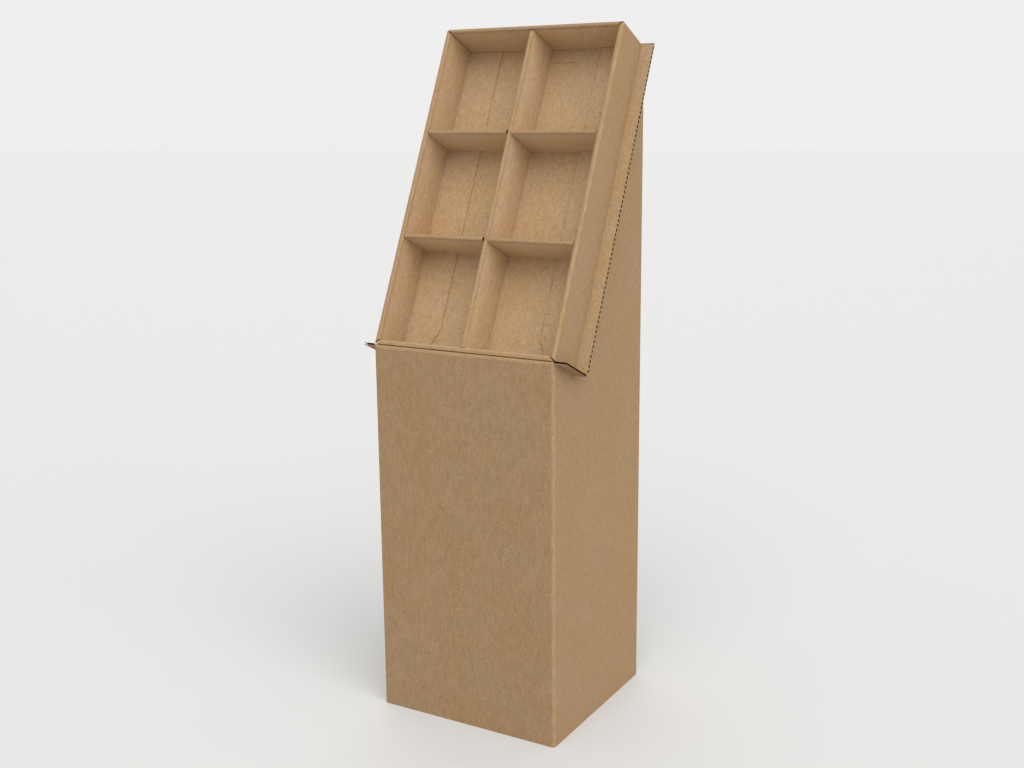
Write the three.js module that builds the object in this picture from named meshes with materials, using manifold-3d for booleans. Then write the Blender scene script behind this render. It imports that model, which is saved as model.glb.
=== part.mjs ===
// Floor display stand of corrugated board: a folded base sleeve with a sloping deck, a rolled-over
// tray collar glued on the deck, and three slotted dividers that make six compartments.
// Millimetres, +Z up, front towards -Y. The origin is on the floor, at the middle of the base.

import * as THREE from 'three';
import { mergeVertices } from 'three/addons/utils/BufferGeometryUtils.js';
import Module from 'manifold-3d';

const wasm = await Module();
wasm.setup();

// Board
const BOARD = 4;                  // thickness of the single-wall board
const FOLD_RADIUS = 4;            // centre of the board round a plain fold
const RIM_RADIUS = 2.6;           // centre of the board round the side rims' two folds
const CREASE_RADIUS = 2.3;        // centre of the board round a tight inward fold
const FOLD_STEPS = 5;             // facets round a quarter turn
const FOLD_OVERLAP = 40;          // stretch by which a folded strip runs into its panel

// Base sleeve
const BASE_WIDTH = 400;
const BASE_DEPTH = 381;
const FRONT_HEIGHT = 761.5;       // floor to the sharp corner above the front panel
const GLUE_FLAP = 35;
const GLUE_FLAP_GAP = 8;          // from its ends to the bottom flap and the tuck flap
const BOTTOM_FLAP_GAP = 3;        // between the two bottom flaps
const BOTTOM_FLAP_INSET = 5;      // from the side panels' outer faces to a bottom flap's ends
const TUCK_FLAP = 70;
const FOLD_RELIEF = 1;            // from the front fold's end to the cut that frees the ears

// Deck and tray
const SLOPE = 65;                 // degrees from the floor
const BACK_LIP = 14.3;            // deck's upper end to the back panel's outer face
const WALL_HEIGHT = 91.6;         // deck to rim
const WING = 25.5;                // deck beyond the side panels, and the ears above it
const SIDE_WALL_GAP = 2.2;        // between the two layers of a side wall
const END_WALL_GAP = 0.4;         // between the two layers of an end wall
const FLAP_REACH = 86.4;          // outer wall's face to the floor flap's cut edge
const FLAP_CORNER_START = 61;     // up the slope, where the flap's lower corner begins
const FLAP_CORNER_SLOPE = 0.46;   // sideways run of that corner for each unit down the slope
const MITRE_SLIT = 0.9;           // open cut between two mitred rims
const MITRE_DEPTH = 5.5;          // of that cut where the outer layers stay joined
const MITRE_LAP = 0.2;            // by which the walls' outer layers run into each other there
const COLLAR_CORNER_RADIUS = 4;

// Dividers
const DIVIDER_GAP = 0.4;          // between the two layers of a divider
const DIVIDER_DROP = 1;           // divider's top below the rim
const ROWS = 3;                   // of compartments, up the slope

// Clearances
const SEAT = 0.3;                 // between pieces that rest on each other
const DIVIDER_END = 0.6;          // divider's end to the collar
const SLOT_CLEARANCE = 0.5;       // each side of a slotted joint
const PAST = 1;                   // by which a cutting solid runs past what it cuts

// Values that follow from the sizes above
const slope = THREE.MathUtils.degToRad(SLOPE);
const half = BOARD / 2;
const deckLength = (BASE_DEPTH - BACK_LIP - WALL_HEIGHT * Math.sin(slope)) / Math.cos(slope);
const trayLength = deckLength - SEAT;
const deckWidth = BASE_WIDTH + 2 * WING;
const sideWall = 2 * BOARD + SIDE_WALL_GAP;
const endWall = 2 * BOARD + END_WALL_GAP;
const dividerThickness = 2 * BOARD + DIVIDER_GAP;
const outerRadius = FOLD_RADIUS + BOARD / 2;
const frontY = -BASE_DEPTH / 2;
const backY = BASE_DEPTH / 2;
const wallFoot = -WALL_HEIGHT + SEAT;
const flapTop = wallFoot + BOARD;

// A slope point: v up the slope from the front corner, w above the rim's plane.
function onSlope(v, w) {
  const y = frontY + v * Math.cos(slope) - w * Math.sin(slope);
  const z = FRONT_HEIGHT + v * Math.sin(slope) + w * Math.cos(slope);
  return new THREE.Vector2(y, z);
}

// Solids

function toSolid(geometry) {
  const bare = geometry.clone();
  bare.deleteAttribute('normal');
  bare.deleteAttribute('uv');
  const merged = mergeVertices(bare, 1e-4);
  const mesh = new wasm.Mesh({
    numProp: 3,
    vertProperties: new Float32Array(merged.attributes.position.array),
    triVerts: new Uint32Array(merged.index.array),
  });
  mesh.merge();
  return new wasm.Manifold(mesh);
}

function toGeometry(solid) {
  const mesh = solid.getMesh();
  const geometry = new THREE.BufferGeometry();
  geometry.setAttribute('position', new THREE.BufferAttribute(mesh.vertProperties, 3));
  geometry.setIndex(new THREE.BufferAttribute(mesh.triVerts, 1));
  geometry.computeVertexNormals();
  return geometry;
}

function join(solids) {
  return solids.reduce((whole, solid) => whole.add(solid));
}

// Outline extruded along X: its first axis lies along Y and its second along Z.
function alongX(points, width, middle = 0) {
  const shape = new THREE.Shape(points);
  const geometry = new THREE.ExtrudeGeometry(shape, { depth: width, bevelEnabled: false });
  geometry.translate(0, 0, -width / 2);
  const axes = new THREE.Matrix4().makeBasis(
    new THREE.Vector3(0, 1, 0), new THREE.Vector3(0, 0, 1), new THREE.Vector3(1, 0, 0));
  geometry.applyMatrix4(axes);
  geometry.translate(middle, 0, 0);
  return toSolid(geometry);
}

// Outline extruded along +Z: its axes are X and Y.
function alongZ(points, bottom, height) {
  const shape = new THREE.Shape(points);
  const geometry = new THREE.ExtrudeGeometry(shape, { depth: height, bevelEnabled: false });
  geometry.translate(0, 0, bottom);
  return toSolid(geometry);
}

// Outline extruded along Y: its first axis lies along X and its second along Z.
function alongY(points, start, length) {
  const shape = new THREE.Shape(points);
  const geometry = new THREE.ExtrudeGeometry(shape, { depth: length, bevelEnabled: false });
  const axes = new THREE.Matrix4().makeBasis(
    new THREE.Vector3(1, 0, 0), new THREE.Vector3(0, 0, 1), new THREE.Vector3(0, -1, 0));
  geometry.applyMatrix4(axes);
  geometry.translate(0, start + length, 0);
  return toSolid(geometry);
}

function block(x0, x1, y0, y1, z0, z1) {
  const corners = [[x0, y0], [x1, y0], [x1, y1], [x0, y1]];
  return alongZ(corners.map(([x, y]) => new THREE.Vector2(x, y)), z0, z1 - z0);
}

function points(pairs) {
  return pairs.map(([a, b]) => new THREE.Vector2(a, b));
}

// Section of a board folded along a path. The path is the middle of the board, given by its
// sharp corners, and each corner is rounded to its own radius.
function boardSection(path, radii) {
  const left = [];
  const right = [];
  const offset = (point, direction) => {
    const normal = new THREE.Vector2(-direction.y, direction.x).multiplyScalar(half);
    left.push(point.clone().add(normal));
    right.push(point.clone().sub(normal));
  };
  const directions = path.slice(1).map((point, index) => point.clone().sub(path[index]).normalize());
  offset(path[0], directions[0]);
  for (let index = 1; index < path.length - 1; index += 1) {
    const radius = radii[index - 1];
    const before = directions[index - 1];
    const after = directions[index];
    const turn = Math.atan2(before.x * after.y - before.y * after.x, before.dot(after));
    const start = path[index].clone().addScaledVector(before, -radius * Math.tan(Math.abs(turn) / 2));
    const side = Math.sign(turn);
    const centre = start.clone().add(new THREE.Vector2(-before.y, before.x).multiplyScalar(side * radius));
    const steps = Math.max(2, Math.round(FOLD_STEPS * Math.abs(turn) / (Math.PI / 2)));
    for (let step = 0; step <= steps; step += 1) {
      const angle = turn * step / steps;
      const direction = before.clone().rotateAround(new THREE.Vector2(), angle);
      const spoke = new THREE.Vector2(direction.y, -direction.x).multiplyScalar(side * radius);
      offset(centre.clone().add(spoke), direction);
    }
  }
  offset(path[path.length - 1], directions[directions.length - 1]);
  return left.concat(right.reverse());
}

// Radii of two folds that turn a board right back on itself, with a hair of flat between them.
function closeFold(thickness) {
  const radius = 0.499 * (thickness - BOARD);
  return [radius, radius];
}

// Rectangle with round corners, about the origin.
function roundedRectangle(width, depth, radius) {
  const outline = [];
  const centres = [[1, -1, -90], [1, 1, 0], [-1, 1, 90], [-1, -1, 180]];
  for (const [sx, sy, first] of centres) {
    for (let step = 0; step <= FOLD_STEPS; step += 1) {
      const angle = THREE.MathUtils.degToRad(first + 90 * step / FOLD_STEPS);
      const x = sx * (width / 2 - radius) + radius * Math.cos(angle);
      const y = sy * (depth / 2 - radius) + radius * Math.sin(angle);
      outline.push(new THREE.Vector2(x, y));
    }
  }
  return outline;
}

// Base sleeve: four panels with round upright folds, cut to the side panels' outline

const lipLevel = onSlope(deckLength, -WALL_HEIGHT).y;
const ledgeFoot = onSlope(-half, -WALL_HEIGHT - half);
const frontFoldDepth = -half * (1 + Math.cos(slope)) / Math.sin(slope);
const frontFold = onSlope(-half, frontFoldDepth);
const frontFoldRun = FOLD_RADIUS / Math.tan(slope / 2);   // from the fold's corner to its flat boards

// The panels end in the middle of the board that folds or lies over them.
function sleevePanels() {
  const outside = alongZ(roundedRectangle(BASE_WIDTH, BASE_DEPTH, outerRadius), 0, lipLevel);
  const hollow = roundedRectangle(BASE_WIDTH - 2 * BOARD, BASE_DEPTH - 2 * BOARD, outerRadius - BOARD);
  const inside = alongZ(hollow, -PAST, lipLevel + 2 * PAST);
  const foldStart = new THREE.Vector2(frontFold.x, frontFold.y - frontFoldRun);
  const lipFront = onSlope(deckLength, -WALL_HEIGHT - half);
  const cover = [
    new THREE.Vector2(frontY - PAST, -PAST),
    new THREE.Vector2(backY + PAST, -PAST),
    new THREE.Vector2(backY + PAST, lipLevel - half),
    new THREE.Vector2(lipFront.x, lipLevel - half),
    ledgeFoot,
    onSlope(-half, frontFoldDepth - frontFoldRun),
    foldStart,
    new THREE.Vector2(frontY - PAST, foldStart.y),
  ];
  return outside.subtract(inside).intersect(alongX(cover, BASE_WIDTH + 2 * PAST));
}

// Front fold, ledge, deck, back lip and tuck flap: one strip that crosses the sleeve
function foldStrip() {
  const deckRun = (lipLevel - half - ledgeFoot.y) / Math.sin(slope);
  const upSlope = new THREE.Vector2(Math.cos(slope), Math.sin(slope));
  const deckTop = ledgeFoot.clone().addScaledVector(upSlope, deckRun);
  const tuckX = backY - BOARD - SEAT - half;
  const path = [
    frontFold.clone().sub(new THREE.Vector2(0, FOLD_OVERLAP)),
    frontFold,
    ledgeFoot,
    deckTop,
    new THREE.Vector2(tuckX, deckTop.y),
    new THREE.Vector2(tuckX, deckTop.y - TUCK_FLAP),
  ];
  const radii = [FOLD_RADIUS, CREASE_RADIUS, FOLD_RADIUS, FOLD_RADIUS];
  const corners = alongZ(roundedRectangle(BASE_WIDTH, BASE_DEPTH, outerRadius), 0, lipLevel + BOARD);
  return alongX(boardSection(path, radii), BASE_WIDTH).intersect(corners);
}

// Deck with its wings, and the ledge with its ears, cut free of the front panel's fold
function wingsAndEars() {
  const earTop = -BOARD / Math.tan(slope);   // keeps the ears level with the front panel's face
  const path = [onSlope(-half, earTop), ledgeFoot, onSlope(deckLength, -WALL_HEIGHT - half)];
  const foldEnd = frontFoldDepth - frontFoldRun - FOLD_RELIEF;
  const overFold = [[-BOARD - PAST, PAST], [-BOARD - PAST, foldEnd], [PAST, foldEnd], [PAST, PAST]];
  const relief = alongX(overFold.map(([v, w]) => onSlope(v, w)), BASE_WIDTH);
  return alongX(boardSection(path, [CREASE_RADIUS]), deckWidth).subtract(relief);
}

function bottomFlap(side) {
  const wall = side * (BASE_DEPTH / 2 - half);
  const path = points([[wall, FOLD_OVERLAP], [wall, half], [side * BOTTOM_FLAP_GAP / 2, half]]);
  return alongX(boardSection(path, [FOLD_RADIUS]), BASE_WIDTH - 2 * BOTTOM_FLAP_INSET);
}

function glueFlap() {
  const height = lipLevel - TUCK_FLAP - outerRadius - GLUE_FLAP_GAP;
  const x = -BASE_WIDTH / 2 + BOARD;
  const y = backY - BOARD;
  return block(x - half, x + GLUE_FLAP, y - BOARD, y + half, BOARD + GLUE_FLAP_GAP, height);
}

function baseSleeve() {
  return join([sleevePanels(), foldStrip(), wingsAndEars(), bottomFlap(-1), bottomFlap(1), glueFlap()]);
}

// Pieces on the slope are built in their own frame: X across, Y up the slope, Z out of the deck,
// with zero at the middle of the rim's lower edge. They are turned onto the slope at the end.

function collarFlapOutline() {
  const inner = -BASE_WIDTH / 2 + sideWall - BOARD;
  const edge = -BASE_WIDTH / 2 + FLAP_REACH;
  const low = endWall + DIVIDER_END;
  const high = trayLength - endWall - DIVIDER_END;
  const cut = (FLAP_CORNER_START - low) * FLAP_CORNER_SLOPE;
  return points([[inner, low], [edge - cut, low], [edge, FLAP_CORNER_START], [edge, high], [inner, high]]);
}

// One side wall with its floor flap, for the left side
function sideRail() {
  const outer = -BASE_WIDTH / 2 + half;
  const inner = -BASE_WIDTH / 2 + sideWall - half;
  const path = points([
    [outer, wallFoot],
    [outer, -half],
    [inner, -half],
    [inner, wallFoot + half],
    [-BASE_WIDTH / 2 + FLAP_REACH, wallFoot + half],
  ]);
  const section = boardSection(path, [RIM_RADIUS, RIM_RADIUS, CREASE_RADIUS]);
  const rail = alongY(section, 0, trayLength);
  const edge = -BASE_WIDTH / 2;
  const mitreRise = BASE_WIDTH / 2 * endWall / sideWall;
  const mitre = points([
    [edge, -MITRE_LAP],
    [0, mitreRise - MITRE_LAP],
    [0, trayLength - mitreRise + MITRE_LAP],
    [edge, trayLength + MITRE_LAP],
  ]);
  const wallZone = block(edge - PAST, edge + sideWall, -PAST, trayLength + PAST, -WALL_HEIGHT, PAST);
  const flap = alongZ(collarFlapOutline(), -WALL_HEIGHT, WALL_HEIGHT);
  return rail.intersect(wallZone.intersect(alongZ(mitre, -WALL_HEIGHT, WALL_HEIGHT + PAST)).add(flap));
}

function endRail() {
  const path = points([
    [half, wallFoot],
    [half, -half],
    [endWall - half, -half],
    [endWall - half, wallFoot],
  ]);
  const rail = alongX(boardSection(path, closeFold(endWall)), BASE_WIDTH);
  const mitre = points([
    [-BASE_WIDTH / 2 - sideWall, -endWall],
    [BASE_WIDTH / 2 + sideWall, -endWall],
    [BASE_WIDTH / 2 - 2 * sideWall, 2 * endWall],
    [-BASE_WIDTH / 2 + 2 * sideWall, 2 * endWall],
  ]);
  return rail.intersect(alongZ(mitre, -WALL_HEIGHT, WALL_HEIGHT + PAST));
}

// Mirror image about the middle of the tray
function mirrored(solid, flip) {
  return solid.translate([0, -trayLength / 2, 0]).scale(flip).translate([0, trayLength / 2, 0]);
}

function trayCollar() {
  const left = sideRail();
  const bottom = endRail();
  const walls = join([left, mirrored(left, [-1, 1, 1]), bottom, mirrored(bottom, [1, -1, 1])]);
  const outline = roundedRectangle(BASE_WIDTH, trayLength, COLLAR_CORNER_RADIUS);
  const corners = alongZ(outline, -WALL_HEIGHT, WALL_HEIGHT + PAST).translate([0, trayLength / 2, 0]);
  const collar = walls.intersect(corners);
  const slits = [];
  for (const sx of [-1, 1]) {
    for (const end of [0, 1]) {
      slits.push(mitreSlit(sx, end));
    }
  }
  return collar.subtract(join(slits));
}

// Cut between the side rim and the end rim: through both rims, then down between the inner layers
function mitreSlit(sx, end) {
  const ends = end === 0 ? 1 : -1;
  const corner = new THREE.Vector2(sx * BASE_WIDTH / 2, end * trayLength);
  const along = new THREE.Vector2(-sx * sideWall, ends * endWall);
  const across = new THREE.Vector2(-along.y, along.x).normalize().multiplyScalar(MITRE_SLIT / 2);
  const strip = (from, to, bottom) => {
    const a = corner.clone().addScaledVector(along, from);
    const b = corner.clone().addScaledVector(along, to);
    const outline = [
      a.clone().sub(across),
      b.clone().sub(across),
      b.clone().add(across),
      a.clone().add(across),
    ];
    return alongZ(outline, bottom, BOARD - bottom);
  };
  const overrun = 0.3;
  const pastOuterLayer = (BOARD + SIDE_WALL_GAP / 4) / sideWall;
  const whole = strip(-overrun, 1 + overrun, -MITRE_DEPTH);
  return whole.add(strip(pastOuterLayer, 1 + overrun, -WALL_HEIGHT - overrun));
}

// Dividers: two layers joined by the fold along the top, standing on the deck

const dividerTop = -DIVIDER_DROP;
const dividerFoot = wallFoot;
const slotDepth = (dividerTop - dividerFoot) / 2;
const slotWidth = dividerThickness + 2 * SLOT_CLEARANCE;
const rowPitch = (trayLength - 2 * endWall + dividerThickness) / ROWS;
const crossPlaces = [];
for (let row = 1; row < ROWS; row += 1) {
  crossPlaces.push(endWall - dividerThickness / 2 + row * rowPitch);
}

function dividerSection() {
  const layer = (dividerThickness - BOARD) / 2;
  const path = points([
    [-layer, dividerFoot],
    [-layer, dividerTop - half],
    [layer, dividerTop - half],
    [layer, dividerFoot],
  ]);
  return boardSection(path, closeFold(dividerThickness));
}

function longDivider() {
  const start = endWall + DIVIDER_END;
  const length = trayLength - 2 * start;
  const board = alongY(dividerSection(), start, length);
  const slots = crossPlaces.map((place) => block(
    -dividerThickness, dividerThickness, place - slotWidth / 2, place + slotWidth / 2,
    dividerFoot - PAST, dividerFoot + slotDepth + SLOT_CLEARANCE));
  return board.subtract(join(slots));
}

function crossDivider(place) {
  const length = BASE_WIDTH - 2 * (sideWall + DIVIDER_END);
  const section = dividerSection().map((point) => new THREE.Vector2(point.x + place, point.y));
  const board = alongX(section, length);
  const slot = block(
    -slotWidth / 2, slotWidth / 2, place - dividerThickness, place + dividerThickness,
    dividerTop - slotDepth, dividerTop + PAST);
  const overFlap = (side) => {
    const edge = BASE_WIDTH / 2 - FLAP_REACH - SLOT_CLEARANCE;
    const [from, to] = side < 0 ? [-BASE_WIDTH / 2, -edge] : [edge, BASE_WIDTH / 2];
    return block(
      from, to, place - dividerThickness, place + dividerThickness,
      dividerFoot - PAST, flapTop + SEAT);
  };
  return board.subtract(join([slot, overFlap(-1), overFlap(1)]));
}

// Finishes and the assembly

function kraft(color) {
  return new THREE.MeshStandardMaterial({ color, roughness: 0.9, metalness: 0 });
}

function named(name, solid, material) {
  const mesh = new THREE.Mesh(toGeometry(solid), material);
  mesh.name = name;
  return mesh;
}

const stand = new THREE.Group();
stand.add(named('base_sleeve', baseSleeve(), kraft(0xac8c69)));

const tray = new THREE.Group();
const origin = onSlope(SEAT, 0);
tray.position.set(0, origin.x, origin.y);
tray.rotation.x = slope;
tray.add(named('tray_collar', trayCollar(), kraft(0xb0906c)));
tray.add(named('long_divider', longDivider(), kraft(0xae8e6a)));
crossPlaces.forEach((place, index) => {
  tray.add(named(`cross_divider_${index + 1}`, crossDivider(place), kraft(0xa98a66)));
});
stand.add(tray);

export default stand;
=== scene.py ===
"""Looks of a floor display stand of kraft corrugated board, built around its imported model."""

import logging
import math
import random
from dataclasses import dataclass
from enum import Enum

import bmesh
import bpy
from mathutils import Matrix, Vector


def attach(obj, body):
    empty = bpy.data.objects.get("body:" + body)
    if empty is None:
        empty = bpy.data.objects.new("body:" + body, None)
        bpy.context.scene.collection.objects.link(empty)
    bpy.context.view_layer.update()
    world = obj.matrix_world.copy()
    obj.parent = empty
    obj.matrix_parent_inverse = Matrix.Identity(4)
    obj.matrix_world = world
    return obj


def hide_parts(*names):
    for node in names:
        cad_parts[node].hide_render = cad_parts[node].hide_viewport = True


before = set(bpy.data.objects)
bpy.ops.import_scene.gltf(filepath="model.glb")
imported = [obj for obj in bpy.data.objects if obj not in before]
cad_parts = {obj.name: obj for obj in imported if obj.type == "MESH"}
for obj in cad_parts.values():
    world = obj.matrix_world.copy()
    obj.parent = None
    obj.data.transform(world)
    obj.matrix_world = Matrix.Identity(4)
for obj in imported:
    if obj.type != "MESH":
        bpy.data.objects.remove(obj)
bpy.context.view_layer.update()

LOG = logging.getLogger("display_stand")
JOIN = 1e-6                           # points closer than this are one, in metres
PAINTED_LIGHT_MARK = "fold"                    # the attribute that says how much painted light a face gets, in steps: painted highlight on folds, painted fill in the shade of pressed edges and the groove
BOX_FACES = [(0, 1, 2, 3), (7, 6, 5, 4), (0, 4, 5, 1), (1, 5, 6, 2), (2, 6, 7, 3), (3, 7, 4, 0)]

Triple = tuple[float, float, float]
Colour = tuple[float, float, float, float]
Shell = tuple[list[Vector], list[tuple[int, ...]]]
Node = bpy.types.Node
Socket = bpy.types.NodeSocket
Entries = dict[str | int, object]


class Cut(Enum):
    """How a raw edge looks."""

    OPEN = "open between the liners, across the flutes"
    CRUSHED = "open at each flute and closed between them"
    ALONG = "open between the liners, along the flutes"
    PRESSED = "pressed nearly shut by the cutting rule"


class Slot(Enum):
    """The record's material slots."""

    SLEEVE = "sleeve_board"
    TRAY = "tray_board"
    DIVIDER = "divider_board"


@dataclass(frozen=True)
class Board:
    """Single-wall corrugated board and how its raw edges wear, in metres."""

    thickness: float = 0.0040
    liner: float = 0.00022
    medium: float = 0.00060
    medium_set: float = 0.35          # middle of the medium to a liner, as a share of the medium
    pitch: float = 0.0096             # from flute to flute
    pocket_depth: float = 0.0080      # how far in an open edge is hollow
    valley_power: float = 12.0        # how narrow the valleys between open flutes are
    crushed_power: float = 3.0        # the same in a crushed edge
    worn_share: float = 0.64          # of each flute that a crushed edge leaves open
    worn_depth: float = 0.0010        # of the bite out of the liner there
    pressed_width: tuple[float, float] = (0.0014, 0.0028)
    pressed_depth: float = 0.0020
    pressed_share: float = 0.7        # of the flutes that still show in a pressed edge
    pressed_top: float = 0.4          # an opening's top above the board's middle, in half boards
    pressed_foot: float = 0.6         # an opening's or nick's foot above the lower face, the same
    nick_spacing: float = 0.0048
    nick_width: tuple[float, float] = (0.0016, 0.0022)
    nick_depth: float = 0.0028
    depth_range: tuple[float, float] = (0.5, 1.0)   # shares of a depth that openings and nicks reach
    steps_per_flute: int = 24
    least_steps: int = 4

    @property
    def half(self) -> float:
        """Half of the board's thickness."""
        return self.thickness / 2


@dataclass(frozen=True)
class StandSizes:
    """Driving sizes of the stand, in metres, the same as the solids'."""

    base_width: float = 0.400
    base_depth: float = 0.381
    front_height: float = 0.7615
    slope_degrees: float = 65.0
    back_lip: float = 0.0143
    wall_height: float = 0.0916
    wing: float = 0.0255
    flap_reach: float = 0.0864
    flap_corner_start: float = 0.061
    flap_corner_slope: float = 0.46
    bottom_flap_gap: float = 0.003
    bottom_flap_inset: float = 0.005
    fold_radius: float = 0.006
    seat: float = 0.0003

    @property
    def slope(self) -> float:
        """Slope in radians."""
        return math.radians(self.slope_degrees)

    @property
    def deck_length(self) -> float:
        """Length of the deck up the slope."""
        run = self.base_depth - self.back_lip - self.wall_height * math.sin(self.slope)
        return run / math.cos(self.slope)

    def on_slope(self, u: float, v: float, w: float) -> Vector:
        """Place a point of the slope's frame in the stand's frame.

        Args:
            u: Across the stand, from its middle.
            v: Up the slope, from the corner above the front panel.
            w: Out of the slope, from the rim's plane.

        Returns:
            The point in the stand's frame.
        """
        cos, sin = math.cos(self.slope), math.sin(self.slope)
        y = -self.base_depth / 2 + v * cos - w * sin
        z = self.front_height + v * sin + w * cos
        return Vector((u, y, z))

    @property
    def up_slope(self) -> Vector:
        """Unit vector up the slope."""
        return Vector((0, math.cos(self.slope), math.sin(self.slope)))

    @property
    def out_of_slope(self) -> Vector:
        """Unit vector out of the slope."""
        return Vector((0, -math.sin(self.slope), math.cos(self.slope)))


@dataclass(frozen=True)
class RawEdge:
    """A straight cut edge of the board, which shows its flutes."""

    start: Vector
    end: Vector
    inward: Vector                    # from the edge into the board
    across: Vector                    # through the board, towards the liner that wears
    cut: Cut = Cut.OPEN
    nicked: bool = False              # with nicks through that liner
    recess: float = 0.0006            # from the edge to the medium

    @property
    def length(self) -> float:
        """Length of the edge."""
        return (self.end - self.start).length

    @property
    def along(self) -> Vector:
        """Unit vector from its start to its end."""
        return (self.end - self.start).normalized()


@dataclass(frozen=True)
class Slit:
    """A narrow knife cut in a surface, which looks dark through the painted shade on its walls."""

    start: Vector
    end: Vector
    down: Vector
    width: float
    proud: float = 0.0010             # how far the cutting box stands out of the surface

    def shape(self) -> Shell:
        """Shape the cut as a box that stands a little out of the surface."""
        side = (self.end - self.start).cross(self.down).normalized() * (self.width / 2)
        top = -self.down.normalized() * self.proud
        ring = []
        for level in (top, self.down):
            for place in (self.start - side, self.start + side, self.end + side, self.end - side):
                ring.append(place + level)
        return ring, BOX_FACES


def new_object(name: str, data: bpy.types.ID) -> bpy.types.Object:
    """Make an object of a mesh, lamp or camera and link it to the scene."""
    made = bpy.data.objects.new(name, data)
    bpy.context.scene.collection.objects.link(made)
    return made


def clean(mesh: bpy.types.Mesh, join: bool) -> None:
    """Turn every face outwards, and first join points that lie together and drop slivers."""
    made = bmesh.new()
    made.from_mesh(mesh)
    if join:
        bmesh.ops.remove_doubles(made, verts=made.verts, dist=JOIN)
        bmesh.ops.dissolve_degenerate(made, edges=made.edges, dist=JOIN)
    bmesh.ops.recalc_face_normals(made, faces=made.faces)
    made.to_mesh(mesh)
    made.free()


def shell_object(name: str, shells: list[Shell]) -> bpy.types.Object:
    """Make one object of closed shells, each with faces by index into its own points."""
    points: list[Vector] = []
    faces: list[tuple[int, ...]] = []
    for ring, sides in shells:
        faces += [tuple(len(points) + index for index in side) for side in sides]
        points += ring
    mesh = bpy.data.meshes.new(name)
    mesh.from_pydata([tuple(point) for point in points], [], faces)
    clean(mesh, join=False)
    return new_object(name, mesh)


class EdgeWork:
    """Opens the raw edges of a board between its liners and puts the fluted medium in."""

    SEED = 17
    LEVEL = 1e-9                      # a flute is level where its valley term is smaller than this

    def __init__(self, board: Board) -> None:
        """Keep the board's sizes and start the random draws."""
        self.board = board
        self.chance = random.Random(self.SEED)

    def pockets(self, edge: RawEdge) -> list[Shell]:
        """Shape boxes between the liners behind a raw edge, which run a little out of it."""
        if edge.cut is Cut.PRESSED:
            return self.pressed(edge)
        board, boxes = self.board, []
        inner, outer = board.half - board.liner, board.half + board.liner
        for low, high in self.openings(edge):
            start, end = edge.start + edge.along * low, edge.start + edge.along * high
            boxes.append(self.box(edge, start, end, board.pocket_depth, inner))
            if edge.cut is Cut.CRUSHED:
                boxes.append(self.box(edge, start, end, board.worn_depth, outer, board.half))
        return boxes

    def pressed(self, edge: RawEdge) -> list[Shell]:
        """Shape the small openings left along a pressed edge, none quite like another."""
        board, boxes = self.board, []
        through = edge.nicked
        top = board.half + board.liner if through else board.half * board.pressed_top
        foot = board.half * board.pressed_foot
        spacing = board.nick_spacing if through else board.pitch
        width = board.nick_width if through else board.pressed_width
        deepest = board.nick_depth if through else board.pressed_depth
        share = 1.0 if through else board.pressed_share
        for place in range(1, int(edge.length / spacing)):
            middle = edge.start + edge.along * spacing * place
            reach = edge.along * (self.chance.uniform(*width) / 2)
            depth = deepest * self.chance.uniform(*board.depth_range)
            if self.chance.random() < share:
                boxes.append(self.box(edge, middle - reach, middle + reach, depth, top, foot))
        return boxes

    def openings(self, edge: RawEdge) -> list[tuple[float, float]]:
        """List where a raw edge is open, as distances along it."""
        if edge.cut is not Cut.CRUSHED:
            return [(0.0, edge.length)]
        pitch = self.board.pitch
        reach = pitch * self.board.worn_share / 2
        middles = [pitch * (arch + 0.5) for arch in range(int(edge.length / pitch))]
        return [(middle - reach, middle + reach) for middle in middles]

    def box(
        self,
        edge: RawEdge,
        start: Vector,
        end: Vector,
        depth: float,
        top: float,
        bottom: float | None = None,
    ) -> Shell:
        """Shape one box behind a raw edge.

        Args:
            edge: The raw edge.
            start: Where the box starts along the edge.
            end: Where it ends.
            depth: How far it goes in.
            top: How far it reaches from the board's middle on the edge's across side.
            bottom: How far it stays above the board's lower face, or None for as far down as up.

        Returns:
            Its points and faces.
        """
        outside = -edge.inward * self.board.liner
        inside = edge.inward * depth
        low = -top if bottom is None else bottom - self.board.half
        ring = []
        for side in (edge.across * low, edge.across * top):
            for place, near in ((outside, start), (outside, end), (inside, end), (inside, start)):
                ring.append(near + place + side)
        return ring, BOX_FACES

    def flutes(self, edge: RawEdge) -> list[Shell]:
        """Shape the wavy medium in the pockets behind a raw edge."""
        return [self.ribbon(edge, low, high) for low, high in self.openings(edge)]

    def ribbon(self, edge: RawEdge, low: float, high: float) -> Shell:
        """Shape the medium between two distances along a raw edge as one closed ribbon."""
        board = self.board
        along = edge.along
        steps = max(board.least_steps, round((high - low) / board.pitch * board.steps_per_flute))
        swing = board.half - board.liner - board.medium * board.medium_set
        front = edge.inward * edge.recess
        back = edge.inward * (board.pocket_depth + board.liner)
        power = board.crushed_power if edge.cut is Cut.CRUSHED else board.valley_power
        points: list[Vector] = []
        faces: list[tuple[int, ...]] = []
        for step in range(steps + 1):
            distance = low + (high - low) * step / steps
            phase = math.pi * distance / board.pitch
            valley = abs(math.cos(phase)) ** power
            height = swing * (1 - 2 * valley)
            fall = 2 * power * valley * math.tan(phase) if valley > self.LEVEL else 0.0
            lean = math.atan(swing * math.pi / board.pitch * fall)
            normal = edge.across * math.cos(lean) - along * math.sin(lean)
            middle = edge.start + along * distance + edge.across * height
            thick = normal * (board.medium / 2)
            near_end, far_end = middle + front, middle + back
            points += [near_end - thick, near_end + thick, far_end + thick, far_end - thick]
            if step:
                near, far = 4 * (step - 1), 4 * step
                for corner in range(4):
                    following = (corner + 1) % 4
                    faces.append((near + corner, near + following, far + following, far + corner))
        last = 4 * steps
        faces.append((3, 2, 1, 0))
        faces.append((last, last + 1, last + 2, last + 3))
        return points, faces


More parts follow.
